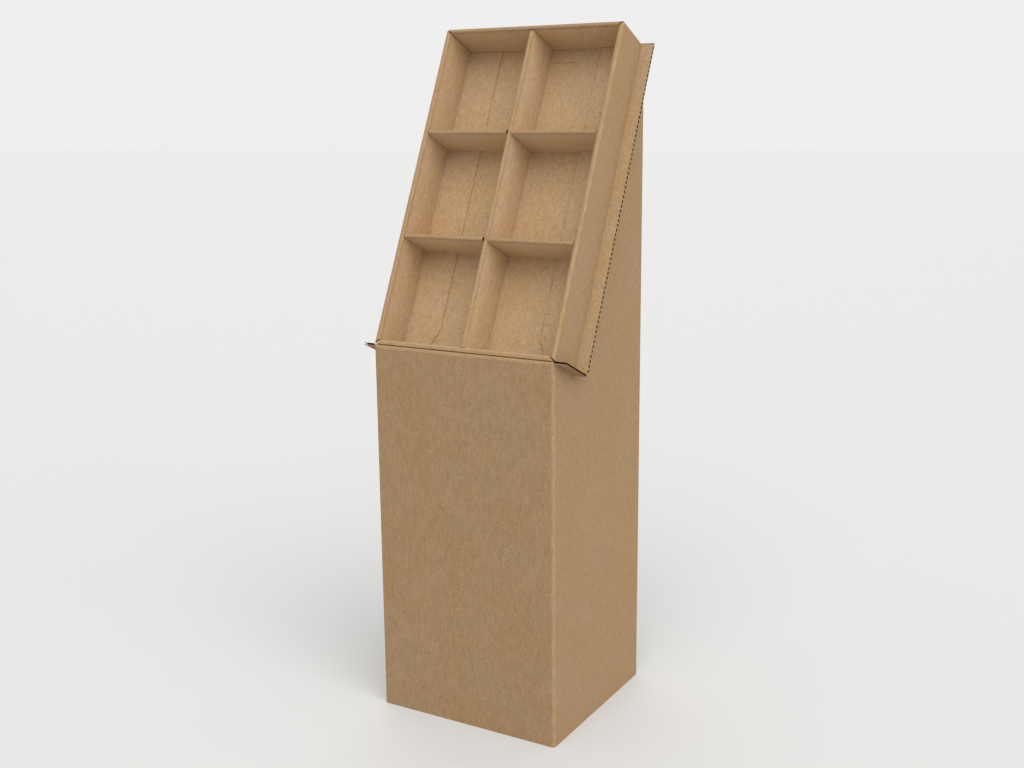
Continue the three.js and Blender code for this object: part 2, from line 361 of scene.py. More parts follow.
class Kind(Enum):
    """What a node group's socket carries."""

    VECTOR = "NodeSocketVector"
    COLOUR = "NodeSocketColor"
    NUMBER = "NodeSocketFloat"


@dataclass(frozen=True)
class Noise:
    """A noise texture: features for each metre, octaves, and how strong the finer octaves are."""

    scale: float
    detail: float = 3.0
    roughness: float = 0.5


class Wiring:
    """Short calls that add and join nodes in one tree."""

    def __init__(self, tree: bpy.types.NodeTree) -> None:
        """Keep the tree."""
        self.tree = tree

    def node(self, kind: str, entries: Entries | None = None, **settings: object) -> Node:
        """Add a node.

        Args:
            kind: Its type name.
            entries: What its inputs are fed with, as in feed.
            settings: Attributes to set on it first.

        Returns:
            The node.
        """
        made = self.tree.nodes.new(kind)
        for key, value in settings.items():
            setattr(made, key, value)
        self.feed(made, entries or {})
        return made

    def feed(self, node: Node, entries: Entries) -> None:
        """Feed a node's inputs.

        Args:
            node: The node.
            entries: A socket to link or a constant to set for each input, by its name or number.
        """
        for label, entry in entries.items():
            if isinstance(entry, Socket):
                self.tree.links.new(entry, node.inputs[label])
            else:
                node.inputs[label].default_value = entry

    def math(self, operation: str, *values: object) -> Socket:
        """Add a Math node with sockets or numbers as its inputs."""
        return self.node("ShaderNodeMath", dict(enumerate(values)), operation=operation).outputs[0]

    def span(
        self, value: object, low: float, high: float, to_low: float = 0.0, to_high: float = 1.0
    ) -> Socket:
        """Map the range from low to high smoothly to another one, and clamp it."""
        entries = dict(enumerate((value, low, high, to_low, to_high)))
        return self.node("ShaderNodeMapRange", entries, interpolation_type="SMOOTHSTEP").outputs[0]

    def mix(self, factor: object, first: object, second: object, blend: str = "MIX") -> Socket:
        """Mix two colours, where the factor is the share of the second."""
        # The colour sockets share their names with others, so they are found by number.
        entries = {0: factor, 6: first, 7: second}
        return self.node("ShaderNodeMix", entries, data_type="RGBA", blend_type=blend).outputs[2]

    def noise(self, vector: object, kind: Noise) -> Node:
        """Add a noise texture, whose first output is a value and whose second is a colour."""
        entries = {"Vector": vector, "Scale": kind.scale, "Detail": kind.detail}
        return self.node("ShaderNodeTexNoise", entries | {"Roughness": kind.roughness})

    def scaled(self, vector: object, factor: object) -> Socket:
        """Multiply a colour or a vector by a number."""
        entries = {0: vector, "Scale": factor}
        return self.node("ShaderNodeVectorMath", entries, operation="SCALE").outputs[0]

    def moved(
        self, vector: object, offset: Triple, turn: Triple = (0, 0, 0), scale: Triple = (1, 1, 1)
    ) -> Socket:
        """Move, turn and stretch texture coordinates, with the turn in radians."""
        return self.node("ShaderNodeMapping", dict(enumerate((vector, offset, turn, scale)))).outputs[0]

    def group(self, tree: bpy.types.NodeTree, entries: Entries) -> Node:
        """Place a shader node group."""
        return self.node("ShaderNodeGroup", entries, node_tree=tree)


def shader_group(
    name: str, inputs: dict[str, Kind], outputs: dict[str, Kind]
) -> tuple[Wiring, bpy.types.NodeOutputs, Node]:
    """Start a shader node group.

    Args:
        name: The group's name.
        inputs: Name and kind of each input.
        outputs: Name and kind of each output.

    Returns:
        The group's wiring, the sockets that it is given, and the node that takes its results.
    """
    tree = bpy.data.node_groups.new(name, "ShaderNodeTree")
    for way, sockets in (("INPUT", inputs), ("OUTPUT", outputs)):
        for label, kind in sockets.items():
            tree.interface.new_socket(name=label, in_out=way, socket_type=kind.value)
    wire = Wiring(tree)
    return wire, wire.node("NodeGroupInput").outputs, wire.node("NodeGroupOutput")


class KraftEffects:
    """Shader node groups that every board finish uses."""

    WIDE_PATCHES = Noise(8.0)
    NEAR_PATCHES = Noise(15.0, 6.0, 0.6)
    NEAR_OFFSET = (3.1, 7.7, 1.9)
    GREY_RANGE = (0.35, 0.65)
    WARM_RANGE = (0.38, 0.72)

    COARSE_FIBRES = Noise(170.0, 4.0, 0.7)
    FINE_FIBRES = Noise(2300.0, 2.0, 0.7)
    PULP = Noise(330.0, 3.0, 0.65)
    FIBRE_STRETCH = (1.0, 1.0, 0.35)
    NOISE_MIDDLE = 0.5
    COARSE_SHARE = 0.45
    PULP_SHARE = 0.55
    FINE_SHARE = 0.6
    COARSE_HEIGHT = 1.5

    HEAD = 0.00425                    # from the deck's upper end to where the painted fill light starts
    BELOW_DECK = 0.0009               # from the deck's face down to where the painted fill light ends
    ABOVE_FLAPS = 0.0008              # from the floor flaps' faces up to where the floor ends
    RIM_RANGE = (-0.012, -0.001)      # out of the slope, where the painted fill light fades out
    WING_PAINTED_FILL = 0.55                 # how much painted fill light the wings get, beside the tray

    SPECK_OUTLINE = Noise(900.0, 2.0)
    SPECK_WANDER = 0.0011             # how far a speck's outline wanders, in metres
    SPECK_FADE = (0.7, 1.15)          # shares of the radius between which a speck fades out
    SPECK_CHANCE = (0.1, 0.9)
    SPECK_STRENGTH = (0.35, 1.0)

    def __init__(self, sizes: StandSizes, board: Board) -> None:
        """Build the groups once."""
        self.sizes = sizes
        self.board = board
        self.mottle = self.build_mottle()
        self.fibres = self.build_fibres()
        self.specks = self.build_specks()
        self.inside = self.build_painted_fill_mask()

    def build_mottle(self) -> bpy.types.NodeTree:
        """Build the cloudy grey and orange patches of recycled liner."""
        wire, given, result = shader_group(
            "kraft_mottle",
            {
                "Coordinates": Kind.VECTOR,
                "Base": Kind.COLOUR,
                "Grey": Kind.COLOUR,
                "Warm": Kind.COLOUR,
                "Amount": Kind.NUMBER,
            },
            {"Color": Kind.COLOUR, "Cloud": Kind.NUMBER},
        )
        here = given["Coordinates"]
        wide = wire.noise(here, self.WIDE_PATCHES).outputs[0]
        near = wire.noise(wire.moved(here, self.NEAR_OFFSET), self.NEAR_PATCHES).outputs[0]
        grey_mask = wire.math("MULTIPLY", wire.span(wide, *self.GREY_RANGE), given["Amount"])
        warm_mask = wire.math("MULTIPLY", wire.span(near, *self.WARM_RANGE), given["Amount"])
        grey = wire.mix(grey_mask, given["Base"], given["Grey"])
        warm = wire.mix(warm_mask, grey, given["Warm"])
        wire.feed(result, {"Color": warm, "Cloud": near})
        return wire.tree

    def build_fibres(self) -> bpy.types.NodeTree:
        """Build the liner's fine fibre grain, for coordinates along the grain."""
        wire, given, result = shader_group(
            "kraft_fibres",
            {"Coordinates": Kind.VECTOR, "Contrast": Kind.NUMBER},
            {"Shade": Kind.NUMBER, "Height": Kind.NUMBER},
        )
        here = given["Coordinates"]
        stretched = wire.moved(here, (0, 0, 0), scale=self.FIBRE_STRETCH)
        coarse = wire.noise(stretched, self.COARSE_FIBRES).outputs[0]
        fine = wire.noise(stretched, self.FINE_FIBRES).outputs[0]
        pulp = wire.noise(here, self.PULP).outputs[0]
        coarse_part = wire.math("MULTIPLY", coarse, self.COARSE_SHARE)
        blend = wire.math("ADD", coarse_part, wire.math("MULTIPLY", pulp, self.PULP_SHARE))
        level = wire.math("SUBTRACT", blend, self.NOISE_MIDDLE)
        shade = wire.math("ADD", wire.math("MULTIPLY", level, given["Contrast"]), 1.0)
        fine_level = wire.math("SUBTRACT", fine, self.NOISE_MIDDLE)
        fine_shade = wire.math("MULTIPLY", fine_level, given["Contrast"])
        fine_part = wire.math("MULTIPLY", fine_shade, self.FINE_SHARE)
        height = wire.math("ADD", fine, wire.math("MULTIPLY", coarse, self.COARSE_HEIGHT))
        wire.feed(result, {"Shade": wire.math("ADD", shade, fine_part), "Height": height})
        return wire.tree

    def build_painted_fill_mask(self) -> bpy.types.NodeTree:
        """Build the mask of the tray's inside, which gets a paler colour as painted fill light against its
        shade, for slope coordinates.
        """
        wire, given, result = shader_group(
            "tray_painted_fill_mask",
            {"Coordinates": Kind.VECTOR, "Floor Painted Fill": Kind.NUMBER},
            {"Mask": Kind.NUMBER},
        )
        across, along, out = wire.node("ShaderNodeSeparateXYZ", {0: given["Coordinates"]}).outputs
        layer = self.board.thickness
        half_width = self.sizes.base_width / 2 - layer
        deck = -self.sizes.wall_height
        flaps = deck + self.sizes.seat + layer
        between = wire.math("LESS_THAN", wire.math("ABSOLUTE", across), half_width)
        on_deck = wire.math("LESS_THAN", out, deck + self.sizes.seat)
        wings = wire.math("MULTIPLY", on_deck, self.WING_PAINTED_FILL)
        limits = (
            wire.math("LESS_THAN", along, self.sizes.deck_length - self.HEAD),
            wire.math("GREATER_THAN", along, layer),
            wire.span(out, *self.RIM_RANGE, 1.0, 0.0),
            wire.math("GREATER_THAN", out, deck - self.BELOW_DECK),
        )
        mask = wire.math("MAXIMUM", between, wings)
        for limit in limits:
            mask = wire.math("MULTIPLY", mask, limit)
        on_floor = wire.math("LESS_THAN", out, flaps + self.ABOVE_FLAPS)
        less = wire.math("MULTIPLY", on_floor, wire.math("SUBTRACT", 1.0, given["Floor Painted Fill"]))
        wire.feed(result, {"Mask": wire.math("MULTIPLY", mask, wire.math("SUBTRACT", 1.0, less))})
        return wire.tree

    def build_specks(self) -> bpy.types.NodeTree:
        """Build the scattered specks of recycled pulp."""
        wire, given, result = shader_group(
            "kraft_specks",
            {"Coordinates": Kind.VECTOR, "Per Metre": Kind.NUMBER, "Radius": Kind.NUMBER},
            {"Mask": Kind.NUMBER},
        )
        here = given["Coordinates"]
        ragged = wire.scaled(wire.noise(here, self.SPECK_OUTLINE).outputs[1], self.SPECK_WANDER)
        place = wire.node("ShaderNodeVectorMath", {0: here, 1: ragged}, operation="ADD").outputs[0]
        entries = {"Vector": place, "Scale": given["Per Metre"]}
        cells = wire.node("ShaderNodeTexVoronoi", entries, feature="F1")
        size = wire.math("MULTIPLY", given["Radius"], given["Per Metre"])
        reach = wire.math("DIVIDE", cells.outputs["Distance"], size)
        strength = wire.node("ShaderNodeSeparateColor", {0: cells.outputs["Color"]})
        spot = wire.span(reach, *self.SPECK_FADE, 1.0, 0.0)
        chosen = wire.span(strength.outputs[0], *self.SPECK_CHANCE, *self.SPECK_STRENGTH)
        wire.feed(result, {"Mask": wire.math("MULTIPLY", spot, chosen)})
        return wire.tree


def new_material(name: str, specular: float) -> tuple[bpy.types.Material, Wiring, Node]:
    """Make a material, and give it with its wiring and its Principled shader."""
    made = bpy.data.materials.new(name)
    made.use_nodes = True
    wire, shader = Wiring(made.node_tree), made.node_tree.nodes["Principled BSDF"]
    wire.feed(shader, {"Specular IOR Level": specular})
    return made, wire, shader


@dataclass(frozen=True)
class Specks:
    """One set of specks on a sheet."""

    offset: Triple                    # by which the set is moved
    per_metre: float
    radius: float
    colour: Colour
    strength: float


@dataclass(frozen=True)
class KraftFinish:
    """The look of one sheet of kraft liner."""

    name: str
    base: Colour = (0.324, 0.208, 0.108, 1)
    grey: Colour = (0.318, 0.211, 0.119, 1)
    warm: Colour = (0.322, 0.198, 0.092, 1)
    # painted fill light: the paler colour inside the tray, which offsets the shade of its walls and
    # dividers
    inside: Colour = (0.480, 0.326, 0.180, 1)
    floor_painted_fill: float = 1.0          # share of the painted fill light that the tray's floor gets, beside its walls
    painted_light_step: float = 0.08           # one step of painted light; a fold takes one step, as a painted highlight
    dark_specks: Specks = Specks((0.0, 0.0, 0.0), 88.0, 0.0013, (0.120, 0.075, 0.040, 1), 0.75)
    light_specks: Specks = Specks((5.3, 2.1, 8.9), 74.0, 0.0011, (0.620, 0.500, 0.370, 1), 0.7)
    # painted light: how much paler the whole sheet is made, against the shade inside the tray
    painted_brightness: float = 1.0
    grain_turn: Triple = (0.0, 0.0, 0.0)
    sheet_offset: Triple = (0.0, 0.0, 0.0)
    mottling: float = 0.7
    contrast: float = 1.35
    roughness: float = 0.86
    roughness_spread: float = 0.12
    specular: float = 0.22
    bump_strength: float = 0.35
    bump_distance: float = 0.00012

    def material(self, effects: KraftEffects, sizes: StandSizes) -> bpy.types.Material:
        """Build the finish from the shared node groups."""
        made, wire, shader = new_material(self.name, self.specular)
        where = wire.node("ShaderNodeTexCoord").outputs["Object"]
        sheet = wire.moved(where, self.sheet_offset, self.grain_turn)
        mottle = wire.group(
            effects.mottle,
            {
                "Coordinates": sheet,
                "Base": self.base,
                "Grey": self.grey,
                "Warm": self.warm,
                "Amount": self.mottling,
            },
        )
        fibres = wire.group(effects.fibres, {"Coordinates": sheet, "Contrast": self.contrast})

        turn = Matrix.Rotation(-sizes.slope, 3, "X")
        corner = turn @ Vector((0, -sizes.base_depth / 2, sizes.front_height))
        on_slope = wire.moved(where, tuple(-corner), (-sizes.slope, 0, 0))
        inside = wire.group(effects.inside, {"Coordinates": on_slope, "Floor Painted Fill": self.floor_painted_fill})
        # Painted fill light: the shaded inside of the tray takes a paler copy of the liner colour.
        painted_fill_ratio = [self.inside[channel] / self.base[channel] for channel in range(3)] + [1]
        painted_fill_colour = wire.mix(1.0, mottle.outputs["Color"], painted_fill_ratio, "MULTIPLY")
        painted_fill_mix = wire.mix(inside.outputs["Mask"], mottle.outputs["Color"], painted_fill_colour)

        # Painted light, in steps: a painted highlight on folds, painted fill in the shade of pressed edges
        # and the groove.
        folded = wire.node("ShaderNodeAttribute", attribute_name=PAINTED_LIGHT_MARK).outputs["Fac"]
        painted_gain = wire.math("MULTIPLY_ADD", folded, self.painted_light_step, self.painted_brightness)
        colour = wire.scaled(painted_fill_mix, wire.math("MULTIPLY", fibres.outputs["Shade"], painted_gain))
        for specks in (self.dark_specks, self.light_specks):
            placed = wire.moved(sheet, specks.offset)
            settings = {"Coordinates": placed, "Per Metre": specks.per_metre, "Radius": specks.radius}
            mask = wire.group(effects.specks, settings).outputs["Mask"]
            colour = wire.mix(wire.math("MULTIPLY", mask, specks.strength), colour, specks.colour)

        cloud = wire.math("MULTIPLY", mottle.outputs["Cloud"], self.roughness_spread)
        matt = wire.math("ADD", cloud, self.roughness - self.roughness_spread / 2)
        relief = {"Strength": self.bump_strength, "Distance": self.bump_distance}
        bump = wire.node("ShaderNodeBump", relief | {"Height": fibres.outputs["Height"]}).outputs[0]
        wire.feed(shader, {"Base Color": colour, "Roughness": matt, "Normal": bump})
        return made


@dataclass(frozen=True)
class FluteFinish:
    """The look of the medium, or the painted shade of the dark space behind it."""

    name: str
    colour: Colour
    contrast: float = 0.5
    roughness: float = 0.95
    specular: float = 0.1

    def material(self, effects: KraftEffects) -> bpy.types.Material:
        """Build the finish from the shared fibre group."""
        made, wire, shader = new_material(self.name, self.specular)
        where = wire.node("ShaderNodeTexCoord").outputs["Object"]
        fibres = wire.group(effects.fibres, {"Coordinates": where, "Contrast": self.contrast})
        colour = wire.scaled(self.colour[:3], fibres.outputs["Shade"])
        wire.feed(shader, {"Base Color": colour, "Roughness": self.roughness})
        return made


class Finishes:
    """Every material of the stand."""

    def __init__(self, sizes: StandSizes, board: Board) -> None:
        """Build them once, with the tray's grain turned along the slope."""
        effects = KraftEffects(sizes, board)
        lean = (math.pi / 2 - sizes.slope, 0.0, 0.0)
        sleeve = KraftFinish("kraft_sleeve")
        # Painted fill light: the tray and the dividers get paler inside colours and a paler whole sheet,
        # against the shade inside the tray.
        tray = KraftFinish(
            "kraft_tray",
            grain_turn=lean,
            sheet_offset=(4.0, 1.0, 2.0),
            inside=(0.500, 0.342, 0.194, 1),
            painted_brightness=1.04,
            floor_painted_fill=0.78,
        )
        divider = KraftFinish(
            "kraft_divider",
            grain_turn=lean,
            sheet_offset=(1.0, 6.0, 3.0),
            inside=(0.535, 0.372, 0.215, 1),
            painted_brightness=1.04,
        )
        self.liner = {
            Slot.SLEEVE: sleeve.material(effects, sizes),
            Slot.TRAY: tray.material(effects, sizes),
            Slot.DIVIDER: divider.material(effects, sizes),
        }
        # Painted shade: the pocket finish is near black, in place of the shade inside the pockets and knife
        # cuts.
        self.pocket = FluteFinish("pocket_painted_shade", (0.006, 0.005, 0.004, 1)).material(effects)
        self.medium = FluteFinish("flute_medium", (0.300, 0.190, 0.100, 1)).material(effects)


@dataclass
class BoardPiece:
    """A folded sheet that stands for one solid, with its raw edges opened."""

    FLAT_LIMIT = 0.9995               # cosine to a panel's normal, past which a face is flat
    FOLD_ANGLE = 28.0                 # degrees up to which neighbouring faces share their shading
    FLUTE_ANGLE = 50.0                # degrees past which the medium has a sharp edge
    NEAR = 0.0002                     # how near to an edge its own face lies, in metres
    PRESSED_PAINTED_FILL = 8.0                # painted fill light on a pressed edge's shaded face, in steps
    GROOVE = 0.0085                   # reach of the groove round the corner above the front panel, whose shade gets painted fill light
    STEEP = 0.6                       # cosine to the slope, past which a face is deep in the groove
    DEEP_PAINTED_FILL = 8.0                   # painted fill light on the groove's shaded deep faces, in steps
    BRIM_PAINTED_FILL = 2.0                   # and on its other faces

    node: str                         # the solid that it stands for
    name: str
    slot: Slot
    edges: list[RawEdge]
    slits: list[Slit]

    def build(self, sizes: StandSizes, board: Board, finishes: Finishes) -> list[bpy.types.Object]:
        """Make the sheet, and its flutes if it shows any, and set them on the frame."""
        pieces = []
        sheet = self.copy_solid()
        sheet.data.materials.append(finishes.liner[self.slot])
        work = EdgeWork(board)
        self.open_edges(sheet, work, finishes)
        fluted = [edge for edge in self.edges if edge.cut in (Cut.OPEN, Cut.CRUSHED)]
        if fluted:
            ribbons = [ribbon for edge in fluted for ribbon in work.flutes(edge)]
            medium = shell_object(f"{self.name}_flutes", ribbons)
            medium.data.materials.append(finishes.medium)
            medium.data.polygons.foreach_set("use_smooth", [True] * len(medium.data.polygons))
            medium.data.set_sharp_from_angle(angle=math.radians(self.FLUTE_ANGLE))
            self.settle(medium)
            pieces.append(medium)
        self.round_folds(sheet.data, self.mark_painted_light(sheet.data, sizes))
        self.settle(sheet)
        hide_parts(self.node)
        pieces.append(sheet)
        return pieces

    def copy_solid(self) -> bpy.types.Object:
        """Start the sheet from its solid's own form, with points joined and no materials."""
        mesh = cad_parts[self.node].data.copy()
        mesh.name = self.name
        mesh.materials.clear()
        clean(mesh, join=True)
        return new_object(self.name, mesh)

    def open_edges(self, sheet: bpy.types.Object, work: EdgeWork, finishes: Finishes) -> None:
        """Cut the pockets between the liners, and the knife cuts, whose walls take a near-black painted
        shade.
        """
        pockets = [pocket for edge in self.edges for pocket in work.pockets(edge)]
        cutter = shell_object(f"{self.name}_pockets", pockets + [slit.shape() for slit in self.slits])
        # The cut walls take the pocket's near-black painted shade.
        cutter.data.materials.append(finishes.pocket)
        sheet.data.materials.append(finishes.pocket)
        cut = sheet.modifiers.new("pockets", "BOOLEAN")
        cut.operation = "DIFFERENCE"
        cut.solver = "EXACT"
        cut.use_self = True
        cut.object = cutter
        cut.material_mode = "TRANSFER"
        bpy.context.view_layer.update()
        graph = bpy.context.evaluated_depsgraph_get()
        opened = bpy.data.meshes.new_from_object(sheet.evaluated_get(graph))
        sheet.modifiers.clear()
        clean(opened, join=True)
        sheet.data = opened
        bpy.data.objects.remove(cutter)

    def mark_painted_light(self, mesh: bpy.types.Mesh, sizes: StandSizes) -> list[bool]:
        """Mark how much painted light each face gets: a painted highlight on folds, painted fill in the
        shade of pressed edges and the groove; and tell the folds.
        """
        flat = [Vector((1, 0, 0)), Vector((0, 1, 0)), Vector((0, 0, 1)), sizes.up_slope, sizes.out_of_slope]
        marks = mesh.attributes.new(PAINTED_LIGHT_MARK, "FLOAT", "FACE")
        pressed = [edge for edge in self.edges if edge.cut is Cut.PRESSED]
        corner = sizes.on_slope(0, 0, 0)
        folds = []
        for face, mark in zip(mesh.polygons, marks.data):
            nearest = max(abs(face.normal.dot(direction)) for direction in flat)
            folds.append(nearest < self.FLAT_LIMIT)
            from_corner = face.center - corner
            if Vector((0, from_corner.y, from_corner.z)).length > self.GROOVE:
                # A fold gets one step of painted highlight; near the corner, the groove's shade gets
                # painted fill.
                mark.value = 1.0 if folds[-1] else 0.0
            else:
                deep = abs(face.normal.dot(sizes.up_slope)) > self.STEEP
                mark.value = self.DEEP_PAINTED_FILL if deep else self.BRIM_PAINTED_FILL
            for edge in pressed:
                faces_out = face.normal.dot(-edge.inward) > self.FLAT_LIMIT
                if faces_out and abs((face.center - edge.start).dot(edge.inward)) < self.NEAR:
                    # A pressed edge's shaded face gets painted fill light.
                    mark.value = self.PRESSED_PAINTED_FILL
        return folds

    def round_folds(self, mesh: bpy.types.Mesh, folds: list[bool]) -> None:
        """Shade the round folds smoothly and keep every flat panel flat."""
        around: dict[int, list[int]] = {}
        for face in mesh.polygons:
            for corner in face.vertices:
                around.setdefault(corner, []).append(face.index)
        limit = math.cos(math.radians(self.FOLD_ANGLE))
        normals = [Vector((0, 0, 1))] * len(mesh.loops)
        for face in mesh.polygons:
            for loop, corner in zip(face.loop_indices, face.vertices):
                beside = [mesh.polygons[other] for other in around[corner]]
                near = [other for other in beside if other.normal.dot(face.normal) > limit]
                flat = [other for other in near if not folds[other.index]]
                if not folds[face.index]:
                    normals[loop] = face.normal.copy()
                elif flat:
                    normals[loop] = flat[0].normal.copy()
                else:
                    normals[loop] = sum((other.normal for other in near), Vector()).normalized()
        mesh.polygons.foreach_set("use_smooth", [True] * len(mesh.polygons))
        mesh.normals_split_custom_set(normals)

    def settle(self, piece: bpy.types.Object) -> None:
        """Set a piece on the frame."""
        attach(piece, "root")


@dataclass
class BaseSleeve:
    """The folded base with its sloping deck, wings and ears."""

    sizes: StandSizes
    board: Board
    corner: float = 0.0028            # from the corner under the ear to the wing's openings
    ear_recess: float = 0.0030        # from the ear's side edge to its medium
    score_across: tuple[float, float] = (0.0060, 0.0630)
    score_up: tuple[float, float] = (0.6350, 0.6270)
    score_width: float = 0.0004
    score_depth: float = 0.0008

    def wing_edges(self, side: int) -> list[RawEdge]:
        """List the raw edges of a wing and its ear, right for side 1 and left for side -1."""
        size, board = self.sizes, self.board
        inner = side * size.base_width / 2
        outer = side * (size.base_width / 2 + size.wing)
        deck = -size.wall_height - board.half
        ear_top = -board.thickness / math.tan(size.slope)
        ledge = -board.half
        inward = Vector((-side, 0, 0))
        top = size.deck_length
        return [
            RawEdge(
                size.on_slope(outer, self.corner, deck),
                size.on_slope(outer, top + board.liner, deck),
                inward,
                size.out_of_slope,
                Cut.CRUSHED,
            ),
            RawEdge(
                size.on_slope(outer, ledge, deck + self.corner + board.half),
                size.on_slope(outer, ledge, ear_top - board.pocket_depth + board.liner),
                inward,
                -size.up_slope,
                recess=self.ear_recess,
            ),
            RawEdge(
                size.on_slope(inner + side * board.liner, ledge, ear_top),
                size.on_slope(outer + side * board.liner, ledge, ear_top),
                -size.out_of_slope,
                -size.up_slope,
                Cut.ALONG,
            ),
            RawEdge(
                size.on_slope(inner, top, deck),
                size.on_slope(outer - side * board.pocket_depth, top, deck),
                -size.up_slope,
                size.out_of_slope,
            ),
        ]

    def base_edges(self) -> list[RawEdge]:
        """List the side panels' lower edges and the bottom flaps' meeting edges."""
        size, board = self.sizes, self.board
        reach = size.base_depth / 2 - 2 * size.fold_radius
        width = size.base_width / 2 - size.bottom_flap_inset - board.liner
        up, across = Vector((0, 0, 1)), Vector((1, 0, 0))
        edges = []
        for side in (-1, 1):
            x = side * (size.base_width / 2 - board.half)
            edges.append(RawEdge(Vector((x, -reach, 0)), Vector((x, reach, 0)), up, across))
            y = side * size.bottom_flap_gap / 2
            start, end = Vector((-width, y, board.half)), Vector((width, y, board.half))
            edges.append(RawEdge(start, end, Vector((0, side, 0)), up))
        return edges

    def score_mark(self) -> list[Slit]:
        """List a scored line across the top right cell and a tick down from its end."""
        size = self.sizes
        level = -size.wall_height
        left, right = self.score_across
        high, low = self.score_up
        corner = size.on_slope(right, high, level)
        into = -size.out_of_slope * self.score_depth
        return [
            Slit(size.on_slope(left, high, level), corner, into, self.score_width),
            Slit(corner, size.on_slope(right, low, level), into, self.score_width),
        ]

    def sheets(self) -> list[BoardPiece]:
        """List the sleeve's one sheet."""
        edges = self.wing_edges(-1) + self.wing_edges(1) + self.base_edges()
        return [BoardPiece("base_sleeve", "sleeve_sheet", Slot.SLEEVE, edges, self.score_mark())]


@dataclass
class TrayCollar:
    """The rolled-over walls with their floor flaps."""

    sizes: StandSizes
    board: Board
    end_wall: float = 0.0084
    side_wall: float = 0.0102
    divider_end: float = 0.0006       # from the inner walls to the dividers and the floor flaps
    mitre_start: float = 0.0008       # from the outer corner to the knife cut
    mitre_width: float = 0.0022
    mitre_depth: float = 0.0056

    def flap_edges(self, side: int) -> list[RawEdge]:
        """List a floor flap's long edge and slanted corner, right for side 1, left for -1."""
        size, board = self.sizes, self.board
        middle = -size.wall_height + size.seat + board.half
        edge = side * (size.base_width / 2 - size.flap_reach)
        low = self.end_wall + self.divider_end
        start = size.flap_corner_start
        cut = (start - low) * size.flap_corner_slope
        top = size.deck_length - self.end_wall - self.divider_end
        seat = size.seat
        corner = size.on_slope(edge, seat + start, middle)
        foot = size.on_slope(edge + side * cut, seat + low, middle)
        slant = (corner - foot).normalized()
        inward = slant.cross(size.out_of_slope) * side
        return [
            RawEdge(
                size.on_slope(edge, seat + start + board.liner, middle),
                size.on_slope(edge, top, middle),
                Vector((side, 0, 0)),
                size.out_of_slope,
                Cut.PRESSED,
                side > 0,
            ),
            RawEdge(foot, corner, inward, size.out_of_slope, Cut.PRESSED, side > 0),
        ]

    def mitres(self) -> list[Slit]:
        """List the knife cuts across the four corners, where the rims meet."""
        size = self.sizes
        down = -size.out_of_slope * self.mitre_depth
        slits = []
        for side in (-1, 1):
            outer = side * (size.base_width / 2 - self.mitre_start)
            inner = side * (size.base_width / 2 - self.side_wall)
            for end, way in ((size.seat, 1), (size.deck_length, -1)):
                start = size.on_slope(outer, end + way * self.mitre_start, 0)
                finish = size.on_slope(inner, end + way * self.end_wall, 0)
                slits.append(Slit(start, finish, down, self.mitre_width))
        return slits

    def sheets(self) -> list[BoardPiece]:
        """List the collar's one sheet."""
        edges = self.flap_edges(-1) + self.flap_edges(1)
        return [BoardPiece("tray_collar", "collar_sheet", Slot.TRAY, edges, self.mitres())]


@dataclass
class Dividers:
    """The long divider and the cross dividers."""

    sizes: StandSizes
    board: Board
    cross_places: tuple[float, float] = (0.2253, 0.4462)
    top: float = -0.0010
    thickness: float = 0.0084
    slot_half: float = 0.0047         # half of the slot that the long divider passes through
    left_end: float = -0.1894         # just past the cross dividers' left ends
    long_end: float = 0.6620          # just inside the long divider's upper end
    cut_width: float = 0.0016
    cut_depth: float = 0.0040

    def end_cut(self, u: float, v: float, along: Vector) -> Slit:
        """Open a divider's folded top at a raw end, at u across the stand and v up the slope."""
        middle = self.sizes.on_slope(u, v, self.top)
        reach = along * (self.thickness / 2 - self.board.liner)
        down = -self.sizes.out_of_slope * self.cut_depth
        return Slit(middle - reach, middle + reach, down, self.cut_width)

    def sheets(self) -> list[BoardPiece]:
        """List the long divider and the cross dividers, each cut open at its raw ends."""
        half_cut = self.cut_width / 2
        top_cut = self.end_cut(0, self.long_end - half_cut, Vector((1, 0, 0)))
        listed = [BoardPiece("long_divider", "long_divider_sheet", Slot.DIVIDER, [], [top_cut])]
        for number, place in enumerate(self.cross_places, 1):
            ends = (self.left_end + half_cut, -self.slot_half - half_cut)
            cuts = [self.end_cut(end, place, self.sizes.up_slope) for end in ends]
            name = f"cross_divider_sheet_{number}"
            listed.append(BoardPiece(f"cross_divider_{number}", name, Slot.DIVIDER, [], cuts))
        return listed


@dataclass(frozen=True)
class Lamp:
    """A wide soft lamp, far off in the direction of its place."""

    name: str
    place: Triple
    angle: float                      # how wide it looks, in degrees
    strength: float                   # its light, where 1 equals a white world


